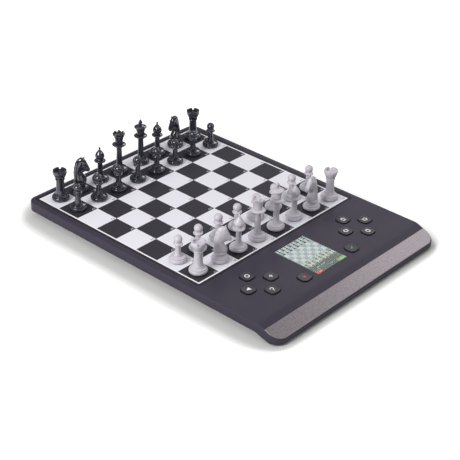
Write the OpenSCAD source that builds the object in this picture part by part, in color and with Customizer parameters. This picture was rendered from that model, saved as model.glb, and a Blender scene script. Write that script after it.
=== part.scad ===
// Electronic chess computer: a slim housing with a pressure-sensing board, a key
// deck with a colour display, a bright strip along the front, and a chess set.
// +Z is up, -Y is the player's side, and the origin is on the table under the middle.

/* [Board] */
// Side of one playing square
square = 33; // [30:0.5:38]
// Width of the white line round the playing field
line_w = 1.8; // [1:0.1:3]
// Black margin of the printed sheet, from the field to the sheet's edge
sheet_margin = 4.3; // [3.5:0.1:6]
// Thickness of the printed sheet
sheet_t = 0.8; // [0.5:0.1:1.2]
// Thickness of the pressure sensor under the sheet
sensor_t = 0.7; // [0.4:0.1:1]
// How far the sensor's edge lies inside the sheet's edge
sensor_inset = 3.3; // [2:0.1:6]
// How far the sheet lies below the housing's deck
sheet_drop = 0.3; // [0.1:0.1:0.6]
// Corner radius of the sheet
sheet_r = 3; // [1:0.5:6]

/* [Housing] */
// Width of the housing beside the playing field
side_rim = 13; // [11:0.5:18]
// Width of the housing behind the playing field
back_rim = 10; // [9:0.5:18]
// Length of the key deck, from the playing field to the front edge
deck_d = 125; // [122:1:140]
// Height of the deck above the table
deck_h = 20.6; // [20.4:0.2:24]
// Height of the visible side wall
wall_h = 12.2; // [11:0.2:13]
// Thickness of the side walls
wall_t = 2; // [1.6:0.1:2.6]
// Thickness of the deck
top_t = 2.2; // [1.8:0.1:2.6]
// Thickness of the deck under the sensor
bed_t = 2; // [1.6:0.1:2.4]
// Radius of the housing's front corners
front_r = 15; // [10:0.5:20]
// Radius of the housing's back corners
back_r = 12; // [8:0.5:16]
// Length of the sloping front, from the flat deck to the front edge
slope_d = 32.5; // [30:0.5:38]
// Angle at which the front slopes down
slope_a = 22; // [16:1:24]
// Radius of the bend between the deck and the slope
slope_r = 16; // [10:1:30]
// Height of the front lip's lower edge above the table
lip_b = 2.8; // [2.4:0.1:3.6]
// Length of the front lip's level lower edge
lip_d = 12.5; // [8:0.5:15]
// Length over which the wall's lower edge rises behind the lip
lip_rise = 19; // [14:1:30]

/* [Base] */
// How far the base stands in from the housing's outline
base_inset = 14; // [10:0.5:18]
// Height of the base above the table
base_b = 1.5; // [1:0.1:2]
// Thickness of the base's floor
floor_t = 2; // [1.6:0.1:2.4]
// Thickness of the flange that closes the housing
flange_t = 2; // [1.6:0.1:2.4]
// Diameter of a rubber foot
foot_d = 12; // [8:0.5:16]
// Depth of a foot's pocket in the floor
foot_sink = 0.6; // [0.3:0.1:1]
// Gap between pieces that fit into each other
fit_gap = 0.3; // [0.2:0.05:0.4]

/* [Front strip] */
// Length of the metal strip down the slope, seen from above
strip_d = 18.5; // [14:0.5:22]
// Thickness of the metal strip
strip_t = 1; // [0.8:0.1:1.5]
// How far the strip stands above the slope
strip_proud = 0.6; // [0.3:0.1:0.7]
// How far the strip's edge stays inside the housing's outline
strip_inset = 1; // [0.8:0.1:2]

/* [Keys] */
// Side of a key
key_w = 15.2; // [13:0.1:18]
// Corner radius of a key
key_r = 5.1; // [3:0.1:6]
// How far a key stands above the deck
key_proud = 1.5; // [1:0.1:2]
// Travel of a key
key_travel = 0.8; // [0.5:0.1:1]
// Gap round a key in the deck
key_gap = 0.35; // [0.3:0.05:0.5]
// Width of the collar that keeps a key under the deck
key_collar = 1.3; // [1:0.1:2]
// Thickness of that collar
key_collar_t = 1; // [0.8:0.1:1.2]
// Diameter of the post under a key
key_post_d = 6; // [4:0.5:8]
// Distance of a key group's centre from the housing's centre line
group_x = 86.1; // [80:0.1:90]
// Distance of a key group's centre from the playing field
group_y = 48.3; // [46:0.1:56]
// Distance of a key from its group's centre
group_r = 18.6; // [17:0.1:20]
// Distance of the yes and no keys from the centre line
side_key_x = 42.6; // [40:0.1:46]
// Distance of the yes and no keys from the playing field
side_key_y = 76.1; // [72:0.1:82]

/* [Display] */
// Width of the display window
window_w = 52; // [46:0.5:56]
// Length of the display window
window_d = 66; // [58:0.5:70]
// Distance of the window's middle from the playing field
window_y = 49.8; // [46:0.5:54]
// Rim of the window's glass under the deck
window_rim = 2.2; // [1.5:0.1:3]
// Thickness of that rim
window_rim_t = 0.8; // [0.6:0.1:1]
// How far the glass lies below the deck
window_drop = 0.2; // [0.1:0.1:0.4]

/* [Electronics] */
// Distance of the circuit board's edge from the housing's side
pcb_inset = 33; // [31:1:40]
// Length of the circuit board
pcb_d = 78; // [74:1:84]
// Distance of the circuit board's middle from the playing field
pcb_y = 51; // [48:0.5:54]
// Thickness of the circuit board
pcb_t = 1.6; // [1.2:0.2:2]
// Height of the posts that carry the circuit board, above the floor
pcb_post_h = 5.9; // [5.5:0.1:6.5]
// Height of a rubber dome, pressed flat
dome_h = 2.2; // [1.8:0.1:2.4]
// Diameter of the loudspeaker
speaker_d = 28; // [22:1:34]
// Height of the loudspeaker
speaker_h = 5; // [4:0.5:7]
// Radius of the power socket's bore
socket_r = 2.85; // [2.6:0.05:3]
// Radius of the power socket's centre pin
socket_pin_r = 1.05; // [0.8:0.05:1.2]

/* [Batteries] */
// Diameter of a cell
cell_d = 10.5; // [10:0.1:10.8]
// Length of a cell
cell_l = 44.5; // [44:0.5:50]
// Distance between the cells' axes
cell_pitch = 11.2; // [11:0.1:13]
// Length of a contact spring
spring_l = 3; // [2:0.1:4]
// Thickness of the battery door
door_t = 1.4; // [1.2:0.1:1.4]
// Distance of the battery bay's middle from the housing's middle
bay_y = 60; // [40:1:90]

/* [Chess set] */
// Radius of a rook's foot
rook_r = 10.8; // [9:0.1:12.5]
// Height of a rook
rook_h = 40; // [37:0.5:48]
// Radius of a bishop's foot
bishop_r = 10.6; // [9:0.1:12]
// Height of a bishop
bishop_h = 46.4; // [43:0.2:54]
// Radius of a knight's foot
knight_r = 10.6; // [9:0.1:12]
// Height of a knight
knight_h = 44.8; // [40:0.2:50]
// Radius of the queen's foot
queen_r = 10.7; // [9:0.1:12.5]
// Height of the queen
queen_h = 54.4; // [50:0.2:64]
// Radius of the king's foot
king_r = 10.7; // [9:0.1:12.5]
// Height of the king
king_h = 61; // [57:0.5:70]
// Radius of a pawn's foot
pawn_r = 10.5; // [8.5:0.1:11.5]
// Height of a pawn
pawn_h = 33.4; // [31:0.2:40]
// Thickness of the felt under a piece
felt_t = 0.8; // [0.5:0.1:1]

/* [Hidden] */
$fn = 64;
eps = 0.01;
field = 8 * square;
body_w = field + 2 * side_rim;
body_d = field + back_rim + deck_d;
front_y = -body_d / 2;
back_y = body_d / 2;
field_y = back_y - back_rim - field / 2;
field_front = field_y - field / 2;

// The deck's bend and slope
bend_y = front_y + slope_d;
bend_z = deck_h - slope_r;
arc_y = bend_y - slope_r * sin(slope_a);
arc_z = bend_z + slope_r * cos(slope_a);
lip_top = arc_z - (arc_y - front_y) * tan(slope_a);

// Levels
wall_b = deck_h - wall_h;
sheet_top = deck_h - sheet_drop;
sensor_top = sheet_top - sheet_t;
bed_top = sensor_top - sensor_t;
bed_b = bed_top - bed_t;
deck_b = deck_h - top_t;
floor_top = base_b + floor_t;
flange_top = wall_b + flange_t;
pcb_b = floor_top + pcb_post_h;
pcb_top = pcb_b + pcb_t;
collar_top = deck_b - fit_gap;
collar_b = collar_top - key_collar_t;
post_b = pcb_top + dome_h + key_travel + 0.2;

sheet_w = field + 2 * sheet_margin;
recess_w = sheet_w + 2 * fit_gap;
sensor_w = sheet_w - 2 * sensor_inset;

// Fixing screws: four down each side
screw_x = body_w / 2 - base_inset - 9;
screw_ys = [back_y - 23, field_y + 10, field_front + 30, front_y + 43];
screw_r = 1.45;
screw_head_r = 2.8;
screw_head_h = 2;
column_r = 5;
column_top = floor_top + 5.5;
head_seat = column_top - 2;
boss_r = 3.5;
boss_b = column_top + 0.05;
screw_top = bed_b - 1.2;

// The circuit board, its screws, and its chips as [x, y from its middle, width, depth, height]
pcb_w = body_w - 2 * pcb_inset;
pcb_mid = field_front - pcb_y;
chips = [[-70, -30, 14, 14, 1.4], [-40, 12, 18, 8, 1.2], [52, -20, 10, 10, 1.4]];
pcb_screws = [for (x = [-1, 1] * (pcb_w / 2 - 6), y = [-1, 1] * (pcb_d / 2 - 6)) [x, pcb_mid + y]];
pcb_screw_r = 1.2;
post_r = 3.2;

foot_x = body_w / 2 - base_inset - 16;
foot_ys = [back_y - 45, field_y - 60, front_y + 25];

// Keys, as [x, y]
group_mid = field_front - group_y;
KEYS = [
    [-group_x, group_mid + group_r], [group_x, group_mid + group_r],
    [-group_x - group_r, group_mid], [group_x - group_r, group_mid],
    [-group_x + group_r, group_mid], [group_x + group_r, group_mid],
    [-group_x, group_mid - group_r], [group_x, group_mid - group_r],
    [-side_key_x, field_front - side_key_y], [side_key_x, field_front - side_key_y]
];
key_names = [
    "key_power", "key_takeback", "key_back", "key_left", "key_plus", "key_right",
    "key_hint", "key_down", "key_no", "key_yes"
];

// Battery bay
cells = 3;
bay_gap = 0.3;
contact_t = 0.5;
contact_w = cell_d - 2.5;
spring_r = contact_w / 2 - 0.4;
bay_l = cell_l + spring_l + 2 * contact_t;
bay_w = (cells - 1) * cell_pitch + cell_d + 1.5;
bay_wall = 1.5;
cell_b = floor_top - 0.3;
cell_z = cell_b + cell_d / 2;
bay_top = cell_b + cell_d + bay_gap;
cell_x0 = -bay_l / 2 + contact_t + spring_l;
ledge = 2.7;
door_l = bay_l + 2 * ledge;
door_w = bay_w + 2 * ledge;
hinge_y = bay_y + door_w / 2;
hinge_z = base_b + door_t;
barrel_l = 36;
barrel_clear = 0.3;
pin_r = 0.8;
pin_l = 3;
pin_gap = 0.05;

speaker_x = -85;
speaker_y = field_front + 42;
socket_y = group_mid + 34;
socket_z = (flange_top + deck_b) / 2 + 0.05;
socket_l = 14;
cable_x = 60;
cable_w = 30;
cable_t = 0.3;
cable_y = field_front + 2;

plastic = [0.27, 0.26, 0.3];
black_set = [0.16, 0.18, 0.21];
white_set = [0.86, 0.85, 0.86];

files = ["a", "b", "c", "d", "e", "f", "g", "h"];
officers = ["rook", "knight", "bishop", "queen", "king", "bishop", "knight", "rook"];
sides = ["white", "black"];

// Set down by hand, a piece stands a little off its square's middle, towards the right front
officer_asides = [[0, 1.8, 0.4, 0.2, 0.2, 0.4, 0.6, 1.5], [1.5, 0.6, 0.8, 0.6, 3.8, 1.4, 1.4, 1.7]];
pawn_asides = [[1.2, 1, 1.4, 1, 1.1, 1.1, 1, 1], [0.5, 1, 0.8, 0.8, 0.8, 0.8, 0.8, 0.8]];
// Which way the knights look, from the right towards the back: on the b file, then on the g file
knight_turns = [[-40, 180], [-45, 186]];

// ---- outlines and helpers

// Rectangle from y0 to y1 with its own radius at the front and back corners
module rounded_plan(w, y0, y1, rf, rb) {
    translate([-w / 2, y0 + rf]) square([w, y1 - y0 - rf - rb]);
    translate([-w / 2 + rf, y0]) square([w - 2 * rf, rf + eps]);
    translate([-w / 2 + rb, y1 - rb - eps]) square([w - 2 * rb, rb + eps]);
    for (s = [-1, 1]) {
        translate([s * (w / 2 - rf), y0 + rf]) circle(rf);
        translate([s * (w / 2 - rb), y1 - rb]) circle(rb);
    }
}

// The housing's outline, moved inwards
module body_plan(inset = 0) {
    rounded_plan(body_w - 2 * inset, front_y + inset, back_y - inset, max(front_r - inset, 3), max(back_r - inset, 3));
}

// A square plate with round corners, centred
module rounded_square(w, r, d = 0) {
    depth = d == 0 ? w : d;
    rounded_plan(w, -depth / 2, depth / 2, r, r);
}

// A side profile, drawn as (y, z), pushed along X
module along_x(w) {
    translate([-w / 2, 0, 0]) rotate([90, 0, 90]) linear_extrude(w) children();
}

// Everything under the deck, its bend and its slope, lowered by drop
module deck_profile(drop = 0) {
    polygon([
        [front_y, -10], [front_y, lip_top - drop], [arc_y, arc_z - drop], [bend_y, arc_z - drop],
        [bend_y, deck_h - drop], [back_y, deck_h - drop], [back_y, -10]
    ]);
    intersection() {
        translate([bend_y, bend_z - drop]) circle(slope_r, $fn = 128);
        translate([arc_y, arc_z - drop - eps]) square([slope_d, slope_r]);
    }
}

// The wall's lower edge: level at the lip, rising, then level to the back
function lower_edge(lift) = [
    [front_y - 1, lip_b + lift], [front_y + lip_d, lip_b + lift],
    [front_y + lip_d + lip_rise, wall_b + lift], [back_y + 1, wall_b + lift]
];

// A slab that follows the slope, from below to above its surface
module slope_slab(above, below) {
    long = slope_d * 2;
    translate([-body_w / 2, front_y, lip_top]) rotate([slope_a, 0, 0])
        translate([0, -long / 2, -below]) cube([body_w, long, above + below]);
}

// The strip's outline, grown by clear
module strip_plan(clear) {
    intersection() {
        body_plan(strip_inset - clear);
        translate([-body_w / 2, front_y]) square([body_w, strip_inset + strip_d + clear]);
    }
}

module at_screws() {
    for (x = [-screw_x, screw_x], y = screw_ys) translate([x, y, 0]) children();
}

// ---- housing

module top_shell() {
    color(plastic) difference() {
        union() {
            difference() {
                intersection() {
                    linear_extrude(deck_h + 1) body_plan();
                    along_x(body_w) deck_profile();
                }
                along_x(body_w + 2)
                    polygon(concat([[front_y - 1, -11]], lower_edge(0), [[back_y + 1, -11]]));
                shell_cavity();
            }
            at_screws() translate([0, 0, boss_b]) cylinder(h = bed_b + eps - boss_b, r = boss_r);
            front_bosses();
        }
        board_recess();
        translate([0, field_front - window_y, deck_b - 1])
            linear_extrude(top_t + 2) rounded_square(window_w, 1, window_d);
        for (k = KEYS) translate([k[0], k[1], deck_b - 1])
            linear_extrude(top_t + 2) rounded_square(key_w + 2 * key_gap, key_r + key_gap);
        intersection() {
            linear_extrude(deck_h) strip_plan(0.1);
            slope_slab(10, strip_t - strip_proud);
        }
        at_screws() translate([0, 0, boss_b - 1]) cylinder(h = screw_top + 0.5 - boss_b + 1, r = screw_r + 0.05);
        translate([body_w / 2 - wall_t - 1, socket_y, socket_z])
            rotate([0, 90, 0]) cylinder(h = wall_t + 2, r = socket_r + 0.6);
        translate([cable_x - cable_w / 2 - 0.5, cable_y - 0.7, bed_b - 1])
            cube([cable_w + 1, cable_t + 1.4, bed_t + 2]);
    }
}

// The hollow under the deck, with a thicker bed left under the board
module shell_cavity() {
    difference() {
        intersection() {
            translate([0, 0, -5]) linear_extrude(deck_h + 5) body_plan(wall_t);
            along_x(body_w) deck_profile(top_t);
        }
        translate([0, field_y, bed_b]) linear_extrude(deck_h) rounded_square(recess_w + 2 * wall_t, sheet_r);
    }
}

// The two front screws reach up to the thinner deck
module front_bosses() {
    for (x = [-screw_x, screw_x]) translate([x, screw_ys[3], boss_b])
        cylinder(h = deck_b + eps - boss_b, r = boss_r);
}

// The recess holds the sheet and, deeper, the sensor
module board_recess() {
    translate([0, field_y, bed_top]) linear_extrude(sensor_t + eps) rounded_square(sensor_w + 2 * fit_gap, 1);
    translate([0, field_y, sensor_top]) linear_extrude(deck_h) rounded_square(recess_w, sheet_r);
}

module bottom_shell() {
    color(plastic * 0.8) difference() {
        union() {
            difference() {
                intersection() {
                    linear_extrude(deck_h) body_plan(wall_t + fit_gap);
                    along_x(body_w) polygon(concat(lower_edge(0), [for (i = [3:-1:0]) lower_edge(flange_t)[i]]));
                }
                linear_extrude(deck_h) base_plan(wall_t);
            }
            difference() {
                translate([0, 0, base_b]) linear_extrude(flange_top - base_b) base_plan();
                translate([0, 0, floor_top]) linear_extrude(deck_h) base_plan(wall_t);
            }
            at_screws() translate([0, 0, base_b]) cylinder(h = column_top - base_b, r = column_r);
            for (p = pcb_screws) translate([p[0], p[1], base_b]) cylinder(h = pcb_b - base_b, r = post_r);
            bay_walls();
            hinge_block();
        }
        at_screws() {
            translate([0, 0, base_b - 1]) cylinder(h = head_seat - base_b + 1, r = screw_head_r + 0.3);
            translate([0, 0, base_b]) cylinder(h = column_top, r = screw_r + 0.15);
        }
        for (p = pcb_screws) translate([p[0], p[1], pcb_b - 4]) cylinder(h = 5, r = pcb_screw_r + 0.05);
        at_feet() translate([0, 0, base_b - 1]) cylinder(h = 1 + foot_sink, r = foot_d / 2 + 0.1);
        bay_hollow();
        hinge_hollow();
        speaker_grille();
    }
}

module base_plan(inset = 0) {
    grow = base_inset + inset;
    rounded_plan(body_w - 2 * grow, front_y + grow, back_y - grow, 8 - inset, 8 - inset);
}

module bay_walls() {
    translate([-bay_l / 2 - bay_wall, bay_y - bay_w / 2 - bay_wall, base_b])
        cube([bay_l + 2 * bay_wall, bay_w + 2 * bay_wall, bay_top + 1 - base_b]);
}

// The bay is open below; the door sits in a wider pocket under a ledge
module bay_hollow() {
    translate([-bay_l / 2, bay_y - bay_w / 2, base_b - 1]) cube([bay_l, bay_w, bay_top - base_b + 1]);
    translate([-door_l / 2 - bay_gap, bay_y - door_w / 2 - bay_gap, base_b - 1])
        cube([door_l + 2 * bay_gap, door_w + bay_gap - 1.6, door_t + 1 + 0.1]);
}

module hinge_block() {
    translate([-barrel_l / 2 - pin_l - 1.5, hinge_y - 2.4, base_b])
        cube([barrel_l + 2 * pin_l + 3, 6, hinge_z + 2.8 - base_b]);
}

module hinge_hollow() {
    half = barrel_l / 2 + barrel_clear;
    r = door_t + barrel_clear;
    translate([0, hinge_y, hinge_z]) rotate([0, 90, 0]) {
        cylinder(h = 2 * half, r = r, center = true);
        cylinder(h = barrel_l + 2 * pin_l + 0.6, r = pin_r + pin_gap, center = true);
    }
    translate([-half, hinge_y - 2.6, base_b - 1]) cube([2 * half, 2.6 + r, hinge_z - base_b + 1]);
}

module speaker_grille() {
    translate([speaker_x, speaker_y, base_b - 1]) {
        cylinder(h = floor_t + 2, r = 1, $fn = 24);
        for (ring = [1, 2], i = [0:6 * ring - 1]) rotate(i * 60 / ring) translate([4 * ring, 0, 0])
            cylinder(h = floor_t + 2, r = 1, $fn = 24);
    }
}

module front_strip() {
    color([0.66, 0.64, 0.66]) intersection() {
        linear_extrude(deck_h) strip_plan(0);
        slope_slab(strip_proud, strip_t - strip_proud);
    }
}

// ---- board

module playing_surface() {
    color([0.12, 0.12, 0.14]) translate([0, field_y, sensor_top])
        linear_extrude(sheet_t) rounded_square(sheet_w, sheet_r);
}

module sensor_sheet() {
    color([0.75, 0.7, 0.5]) translate([0, field_y, bed_top]) linear_extrude(sensor_t) rounded_square(sensor_w, 0.7);
}

// A flat cable from the sensor, down through the bed and forward to the circuit board
module sensor_cable() {
    color([0.7, 0.45, 0.15]) translate([cable_x, 0, 0]) along_x(cable_w) polygon([
        [cable_y, bed_top], [cable_y + cable_t, bed_top], [cable_y + cable_t, pcb_top],
        [pcb_mid + pcb_d / 2 - 6, pcb_top], [pcb_mid + pcb_d / 2 - 6, pcb_top + cable_t],
        [cable_y, pcb_top + cable_t]
    ]);
}

// ---- display and electronics

module display_window() {
    color([0.75, 0.8, 0.78, 0.5]) translate([0, field_front - window_y, deck_b - window_rim_t]) {
        linear_extrude(window_rim_t) rounded_square(window_w + 2 * window_rim, 2, window_d + 2 * window_rim);
        linear_extrude(window_rim_t + top_t - window_drop)
            rounded_square(window_w - 2 * bay_gap, 0.9, window_d - 2 * bay_gap);
    }
}

module display_module() {
    color([0.2, 0.2, 0.22]) translate([0, field_front - window_y, pcb_top])
        linear_extrude(deck_b - window_rim_t - 0.1 - pcb_top) rounded_square(window_w + 6, 1.5, window_d + 6);
}

module main_board() {
    color([0.1, 0.35, 0.2]) difference() {
        union() {
            translate([0, pcb_mid, pcb_b]) linear_extrude(pcb_t) rounded_square(pcb_w, 2, pcb_d);
            for (c = chips) translate([c[0], pcb_mid + c[1], pcb_b - c[4]]) cube([c[2], c[3], c[4] + eps]);
        }
        for (p = pcb_screws) translate([p[0], p[1], pcb_b - 1]) cylinder(h = pcb_t + 2, r = pcb_screw_r + 0.2);
    }
}

module key_domes() {
    pad_t = 0.6;
    color([0.85, 0.85, 0.82]) for (k = KEYS) translate([k[0], k[1], pcb_top]) {
        cylinder(h = pad_t, r = key_post_d);
        translate([0, 0, pad_t - eps]) cylinder(h = dome_h - pad_t + eps, r1 = key_post_d - 1.5, r2 = key_post_d / 2);
    }
}

// A keycap with its collar and post
module keycap(i) {
    color(plastic * 1.1) translate([KEYS[i][0], KEYS[i][1], 0]) {
        translate([0, 0, collar_b])
            linear_extrude(key_collar_t) rounded_square(key_w + 2 * key_collar, key_r + key_collar);
        translate([0, 0, collar_b])
            linear_extrude(deck_h + key_proud - collar_b) rounded_square(key_w, key_r);
        translate([0, 0, post_b]) cylinder(h = collar_b - post_b + eps, r = key_post_d / 2);
    }
}

module loudspeaker() {
    color([0.25, 0.25, 0.25]) translate([speaker_x, speaker_y, floor_top]) {
        cylinder(h = speaker_h * 0.4, r = speaker_d / 2);
        cylinder(h = speaker_h, r = speaker_d * 0.3);
    }
}

// A barrel socket: its bore opens through the right wall, with a pin in the middle
module power_socket() {
    w = 9;
    h = deck_b - flange_top - 0.1;
    depth = socket_l - 3;
    color([0.15, 0.15, 0.15]) translate([body_w / 2 - wall_t - 0.05, socket_y, socket_z]) {
        difference() {
            translate([-socket_l, -w / 2, -h / 2]) cube([socket_l, w, h]);
            translate([-depth, 0, 0]) rotate([0, 90, 0]) cylinder(h = depth + 1, r = socket_r);
        }
        translate([-depth - 1, 0, 0]) rotate([0, 90, 0]) cylinder(h = depth, r = socket_pin_r);
    }
}

// ---- batteries

module battery_cells() {
    color([0.8, 0.65, 0.25]) for (i = [0:cells - 1])
        translate([cell_x0, bay_y + (i - (cells - 1) / 2) * cell_pitch, cell_z]) rotate([0, 90, 0]) {
            cylinder(h = cell_l - 1, r = cell_d / 2);
            cylinder(h = cell_l, r = 1.9);
        }
}

// A spring on one wall of the bay and a plate on the other, for each cell
module battery_contacts() {
    color([0.75, 0.75, 0.72]) for (i = [0:cells - 1])
        translate([0, bay_y + (i - (cells - 1) / 2) * cell_pitch, cell_z]) {
            translate([-bay_l / 2, -contact_w / 2, -contact_w / 2]) cube([contact_t, contact_w, contact_w]);
            translate([-bay_l / 2 + contact_t - eps, 0, 0]) rotate([0, 90, 0])
                cylinder(h = spring_l + eps, r1 = spring_r, r2 = spring_r * 2 / 3);
            translate([bay_l / 2 - contact_t, -contact_w / 2, -contact_w / 2]) cube([contact_t, contact_w, contact_w]);
        }
}

// The door turns on two pins at its back edge
module battery_door() {
    arm = 3;
    color(plastic * 0.8) {
        translate([-door_l / 2, bay_y - door_w / 2, base_b]) cube([door_l, door_w - 2.2, door_t]);
        translate([-barrel_l / 2, hinge_y - arm, base_b]) cube([barrel_l, arm, door_t]);
        translate([0, hinge_y, hinge_z]) rotate([0, 90, 0]) {
            cylinder(h = barrel_l, r = door_t, center = true);
            cylinder(h = barrel_l + 2 * pin_l, r = pin_r, center = true);
        }
    }
}

// ---- sound, power and fixings

module at_feet() {
    for (x = [-foot_x, foot_x], y = foot_ys) translate([x, y, 0]) children();
}

module rubber_feet() {
    color([0.1, 0.1, 0.1]) at_feet() cylinder(h = base_b + foot_sink, r = foot_d / 2);
}

module housing_screws() {
    color([0.6, 0.6, 0.62]) at_screws() difference() {
        union() {
            translate([0, 0, head_seat - screw_head_h]) cylinder(h = screw_head_h, r = screw_head_r);
            translate([0, 0, head_seat - eps]) cylinder(h = screw_top - head_seat, r = screw_r);
        }
        for (a = [0, 90]) rotate(a) translate([-1.6, -0.35, head_seat - screw_head_h - 1]) cube([3.2, 0.7, 2]);
    }
}

module board_screws() {
    color([0.6, 0.6, 0.62]) for (p = pcb_screws) translate([p[0], p[1], pcb_top]) {
        cylinder(h = 1.4, r = 2.2);
        translate([0, 0, -pcb_t - 3]) cylinder(h = pcb_t + 3 + eps, r = pcb_screw_r);
    }
}

// ---- chess set

// A skirt that narrows from radius r0 at height z0 to radius r1 at height z1, ever more slowly
function skirt(r0, r1, z0, z1, n = 8) =
    [for (i = [0:n]) [r1 + (r0 - r1) * pow(1 - i / n, 1.4), z0 + (z1 - z0) * i / n]];

// A trumpet that widens from radius r0 at height z0 to radius r1 at height z1
function trumpet(r0, r1, z0, z1, n = 6) =
    [for (i = [0:n]) [r0 + (r1 - r0) * pow(i / n, 1.8), z0 + (z1 - z0) * i / n]];

// A round bead that stands dr out of radius r, between heights z0 and z1
function bead(r, dr, z0, z1, n = 8) =
    [for (i = [0:n]) [r + dr * sin(180 * i / n), (z0 + z1) / 2 - (z1 - z0) / 2 * cos(180 * i / n)]];

// A ball of radius r round height z, from the neck radius up to the axis
function ball(r, z, neck, n = 10) =
    let (a0 = -acos(neck / r)) [for (i = [0:n]) let (a = a0 + (90 - a0) * i / n) [r * cos(a), z + r * sin(a)]];

// The foot that every piece has: a rounded rim, a ring on it, a low slope, a small ring and the stem's own flare
function foot(r, stem_r, stem_z) = concat(
    [[0, 0], [r - 1, 0]], bead(r - 1, 1, 0, 4.2), bead(r - 2, 0.6, 4.3, 5.6),
    skirt(r - 2.6, stem_r + 1.4, 5.7, 6.9, 4), bead(stem_r + 0.9, 0.6, 7, 8.2),
    skirt(stem_r + 0.8, stem_r, 8.3, stem_z, 4)
);

// A small ring and a wide, thin collar over it, from height z
function collar(r, z) = concat(bead(3.8, 1.8, z, z + 1.7), bead(4, r - 4, z + 1.8, z + 4.8));

module turned(points) {
    rotate_extrude($fn = 64) polygon(points);
}

// Places a piece's body and its felt on a square; the felt is a solid of its own
module stand(file, rank, r, side, aside) {
    x = (file - 3.5) * square + 0.7 * aside;
    y = field_y + (rank - 3.5) * square - 0.7 * aside;
    translate([x, y, sheet_top]) {
        color([0.1, 0.3, 0.15]) cylinder(h = felt_t - 0.02, r = r - 1.6);
        color(side == 0 ? white_set : black_set) translate([0, 0, felt_t]) children();
    }
}

// An officer stands on its own side's back rank
module stand_officer(file, side, r) {
    stand(file, 7 * side, r, side, officer_asides[side][file]) children();
}

module pawn(file, side) {
    h = pawn_h - felt_t;
    head = 5;
    stand(file, 1 + 5 * side, pawn_r, side, pawn_asides[side][file]) turned(concat(
        foot(pawn_r, 3.3, h * 0.4), [[3, h * 0.6]],
        bead(4, 1.7, h * 0.62, h * 0.7), ball(head, h - head, 3.7)
    ));
}

module rook(file, side) {
    h = rook_h - felt_t;
    top_r = 8.5;
    stand_officer(file, side, rook_r) difference() {
        turned(concat(
            foot(rook_r, 5.1, 13.5), [[4.9, h * 0.66]], bead(5, 0.9, h * 0.67, h * 0.71),
            [[5.6, h * 0.72], [top_r, h * 0.9], [top_r, h - 0.5], [top_r - 0.5, h], [0, h]]
        ));
        translate([0, 0, h - 3.4]) cylinder(h = 5, r = top_r - 2);
        for (a = [0, 90]) rotate(a + 45) translate([-top_r - 1, -1.1, h - 2.4]) cube([2 * top_r + 2, 2.2, 5]);
    }
}

module bishop(file, side) {
    h = bishop_h - felt_t;
    stand_officer(file, side, bishop_r) difference() {
        turned(concat(
            foot(bishop_r, 3.3, 12.5), [[3, h * 0.54]], bead(3.6, 3.6, h * 0.56, h * 0.63),
            [[3.3, h * 0.64]], mitre(h * 0.66, h - 2.9), ball(1.4, h - 1.4, 0.9)
        ));
        translate([1.2, 0, h * 0.84]) rotate([0, -35, 0]) translate([0, -8, -0.5]) cube([9, 16, 1]);
    }
}

// A bishop's mitre: widest at a third of its height, drawn in to a narrow neck
function mitre(z0, z1, n = 12) =
    [for (i = [0:n]) let (t = i / n) [3.3 * (1 - t) + 0.9 * t + 3.4 * sin(180 * pow(t, 0.7)), z0 + (z1 - z0) * t]];

module queen(file, side) {
    h = queen_h - felt_t;
    top_r = 7.9;
    spikes = 8;
    stand_officer(file, side, queen_r) difference() {
        turned(concat(
            foot(queen_r, 3.6, 14), [[3.3, h * 0.63]], collar(8.7, h * 0.64), [[4.5, h * 0.74]],
            trumpet(4.7, top_r - 0.5, h * 0.76, h * 0.95),
            [[top_r, h], [top_r - 0.8, h], [top_r - 2, h - 2.8], [4, h - 3.4]], ball(2, h - 2.6, 1.9)
        ));
        for (i = [0:spikes - 1]) rotate(i * 360 / spikes) translate([top_r - 3, 0, h + 0.3])
            rotate([0, 90, 0]) cylinder(h = 4, r = 2.1);
    }
}

module king(file, side) {
    h = king_h - felt_t;
    crown = h - 9.4;
    top_r = 8;
    stand_officer(file, side, king_r) {
        turned(concat(
            foot(king_r, 3.7, 14), [[3.4, h * 0.57]], collar(8.6, h * 0.575), [[4.6, h * 0.665]],
            trumpet(4.9, top_r - 1.2, h * 0.68, crown - 1.6), bead(top_r - 0.8, 0.8, crown - 1.5, crown + 0.2),
            [[top_r - 1.4, crown + 0.5], [3, crown + 1.7], [0, crown + 2]]
        ));
        translate([-1.3, -1.1, crown]) cube([2.6, 2.2, h - crown]);
        translate([-3, -1.1, h - 5.8]) cube([6, 2.2, 3]);
    }
}

// The horse's side as (forward, up), from the top of its foot
function horse_side(k) = k * [
    [-8.1, 0], [-8.2, 4], [-8.1, 8.8], [-7.7, 14.9], [-6.3, 22.6], [-4.3, 29], [-1.1, 33.4], [3.3, 35.3],
    [4.6, 36], [7.2, 32.9], [9.9, 27.7], [12.3, 22], [13.7, 18.2], [13.5, 16.5], [12.7, 15.1], [11.2, 14.7],
    [9.7, 14.9], [7.9, 15.1], [6.1, 14.5], [4.4, 13.4], [4, 12], [5.9, 9.2], [8.1, 5.9], [8.9, 2.2], [8.3, 0]
];

// The horse's front as (across, up)
function horse_front(k) = k * [
    [-6.2, 0], [-6.4, 3.1], [-5.4, 8], [-4.6, 17.3], [-4.3, 28.3], [-2.6, 37], [2.6, 37], [4.3, 28.3], [4.6, 17.3],
    [5.4, 8], [6.4, 3.1], [6.2, 0]
];

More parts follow.
